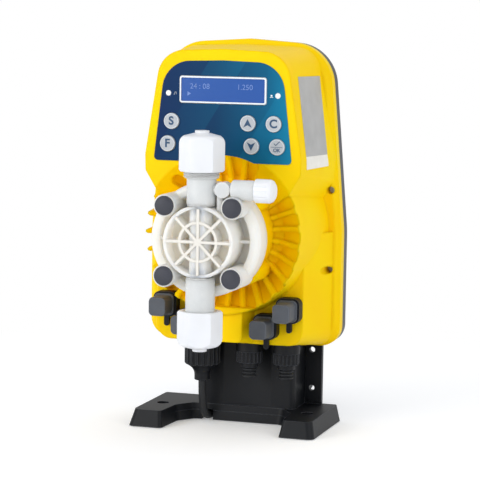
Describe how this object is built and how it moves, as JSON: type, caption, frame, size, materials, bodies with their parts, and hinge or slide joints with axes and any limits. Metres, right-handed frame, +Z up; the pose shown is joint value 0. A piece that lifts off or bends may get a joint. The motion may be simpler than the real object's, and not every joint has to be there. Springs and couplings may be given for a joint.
{
  "type": "dosing pump",
  "caption": "Solenoid diaphragm dosing pump with round head and check valves, keypad console with display, finned drum housing and bench stand with coiled power cord",
  "frame": {"origin": "on the floor plane, midway across the housing and midway between the front of the hose nuts and the rear face that goes to a wall", "axes": "Z up, pump head faces -Y, rear face towards +Y, bleed knob towards +X"},
  "size_m": [0.1532, 0.2611, 0.2956],
  "materials": {
    "yellow_plastic": "glass-filled housing plastic, fine texture",
    "black_plastic": "black moulded plastic",
    "grey_rubber": "soft dark grey rubber",
    "cord_rubber": "black cord jacket",
    "head_plastic": "natural white fluoropolymer",
    "valve_plastic": "translucent white plastic",
    "panel_film": "printed keypad film",
    "bezel_silver": "satin silver bezel",
    "display_glass": "blue backlit character display",
    "key_grey": "silver grey key caps",
    "lamp_plastic": "light pipes",
    "steel": "zinc plated or stainless steel",
    "sleeve_brass": "thin brass sleeve",
    "winding": "enamelled copper winding",
    "board": "green circuit board",
    "components": "board components",
    "ceramic": "white ceramic"
  },
  "bodies": {
    "pump_body": {"front_housing": "yellow_plastic", "rear_cover": "black_plastic", "stand": "black_plastic", "gland_bodies": "black_plastic", "signal_sockets": "black_plastic", "display_module": "black_plastic", "plunger_bush": "black_plastic", "coil_bobbin": "black_plastic", "end_stop": "black_plastic", "rear_gasket": "grey_rubber", "signal_gland_boots": "grey_rubber", "power_gland_seal": "grey_rubber", "bolt_caps": "grey_rubber", "foot_pads": "grey_rubber", "diaphragm": "grey_rubber", "power_cord": "cord_rubber", "cord_coil": "cord_rubber", "power_plug": "cord_rubber", "pump_head": "head_plastic", "backing_plate": "head_plastic", "discharge_valve_body": "valve_plastic", "suction_valve_body": "valve_plastic", "valve_gaskets": "valve_plastic", "bleed_valve_body": "valve_plastic", "valve_seats": "valve_plastic", "hose_nipples": "valve_plastic", "keypad_panel": "panel_film", "display_bezel": "bezel_silver", "display_window": "display_glass", "status_lights": "lamp_plastic", "head_bolts": "steel", "housing_screws": "steel", "stand_screws": "steel", "pole_piece": "steel", "solenoid_yoke": "steel", "return_spring": "steel", "guide_sleeve": "sleeve_brass", "coil_winding": "winding", "control_board": "board", "board_components": "components"},
    "plunger": {"plunger_shaft": "steel", "plunger_armature": "steel"},
    "bleed_screw": {"bleed_knob": "valve_plastic"},
    "discharge_check_ball": {"discharge_ball": "ceramic"},
    "suction_check_ball": {"suction_ball": "ceramic"},
    "discharge_nut": {"discharge_hose_nut": "head_plastic"},
    "suction_nut": {"suction_hose_nut": "head_plastic"},
    "power_nut": {"power_gland_nut": "black_plastic"},
    "left_signal_nut": {"signal_gland_nut_left": "black_plastic"},
    "right_signal_nut": {"signal_gland_nut_right": "black_plastic"},
    "key_stop_cap": {"key_stop": "key_grey"},
    "key_function_cap": {"key_function": "key_grey"},
    "key_clear_cap": {"key_clear": "key_grey"},
    "key_ok_cap": {"key_ok": "key_grey"},
    "key_up_cap": {"key_up": "key_grey"},
    "key_down_cap": {"key_down": "key_grey"},
    "socket_cap_upper_left_cover": {"socket_cap_upper_left": "grey_rubber"},
    "socket_cap_lower_left_cover": {"socket_cap_lower_left": "grey_rubber"},
    "socket_cap_lower_right_cover": {"socket_cap_lower_right": "grey_rubber"},
    "socket_cap_upper_right_cover": {"socket_cap_upper_right": "grey_rubber"}
  },
  "joints": [
    {"name": "plunger_slide", "type": "slide", "parent": "pump_body", "child": "plunger", "axis": [0, -1, 0], "range_m": [0, 0.0012], "stiffness_N_per_m": 800, "springref_m": -0.0005, "deforming": ["return_spring", "diaphragm"]},
    {"name": "key_stop_press", "type": "slide", "parent": "pump_body", "child": "key_stop_cap", "axis": [0, 1, 0], "range_m": [0, 0.0008], "stiffness_N_per_m": 600, "springref_m": -0.001},
    {"name": "key_function_press", "type": "slide", "parent": "pump_body", "child": "key_function_cap", "axis": [0, 1, 0], "range_m": [0, 0.0008], "stiffness_N_per_m": 600, "springref_m": -0.001},
    {"name": "key_clear_press", "type": "slide", "parent": "pump_body", "child": "key_clear_cap", "axis": [0, 1, 0], "range_m": [0, 0.0008], "stiffness_N_per_m": 600, "springref_m": -0.001},
    {"name": "key_ok_press", "type": "slide", "parent": "pump_body", "child": "key_ok_cap", "axis": [0, 1, 0], "range_m": [0, 0.0008], "stiffness_N_per_m": 600, "springref_m": -0.001},
    {"name": "key_up_press", "type": "slide", "parent": "pump_body", "child": "key_up_cap", "axis": [0, 1, 0], "range_m": [0, 0.0008], "stiffness_N_per_m": 600, "springref_m": -0.001},
    {"name": "key_down_press", "type": "slide", "parent": "pump_body", "child": "key_down_cap", "axis": [0, 1, 0], "range_m": [0, 0.0008], "stiffness_N_per_m": 600, "springref_m": -0.001},
    {"name": "bleed_turn", "type": "hinge", "parent": "pump_body", "child": "bleed_screw", "pos_m": [0.048, -0.05606, 0.1891], "axis": [1, 0, 0], "range_deg": [0, 360]},
    {"name": "discharge_ball_lift", "type": "slide", "parent": "pump_body", "child": "discharge_check_ball", "axis": [0, 0, 1], "range_m": [0, 0.0015]},
    {"name": "suction_ball_lift", "type": "slide", "parent": "pump_body", "child": "suction_check_ball", "axis": [0, 0, 1], "range_m": [0, 0.0015]},
    {"name": "discharge_nut_turn", "type": "hinge", "parent": "pump_body", "child": "discharge_nut", "pos_m": [0, -0.05606, 0.2158], "axis": [0, 0, 1], "continuous": true},
    {"name": "suction_nut_turn", "type": "hinge", "parent": "pump_body", "child": "suction_nut", "pos_m": [0, -0.05606, 0.0858], "axis": [0, 0, 1], "continuous": true},
    {"name": "power_nut_turn", "type": "hinge", "parent": "pump_body", "child": "power_nut", "pos_m": [-0.0245, 0.02394, 0.054], "axis": [0, 0, 1], "continuous": true},
    {"name": "left_signal_nut_turn", "type": "hinge", "parent": "pump_body", "child": "left_signal_nut", "pos_m": [0.0134, 0.02394, 0.054], "axis": [0, 0, 1], "continuous": true},
    {"name": "right_signal_nut_turn", "type": "hinge", "parent": "pump_body", "child": "right_signal_nut", "pos_m": [0.0426, 0.02394, 0.054], "axis": [0, 0, 1], "continuous": true},
    {"name": "socket_cap_upper_left_pull", "type": "slide", "parent": "pump_body", "child": "socket_cap_upper_left_cover", "axis": [0, -1, 0], "range_m": [0, 0.022]},
    {"name": "socket_cap_lower_left_pull", "type": "slide", "parent": "pump_body", "child": "socket_cap_lower_left_cover", "axis": [0, -1, 0], "range_m": [0, 0.022]},
    {"name": "socket_cap_lower_right_pull", "type": "slide", "parent": "pump_body", "child": "socket_cap_lower_right_cover", "axis": [0, -1, 0], "range_m": [0, 0.022]},
    {"name": "socket_cap_upper_right_pull", "type": "slide", "parent": "pump_body", "child": "socket_cap_upper_right_cover", "axis": [0, -1, 0], "range_m": [0, 0.022]}
  ]
}
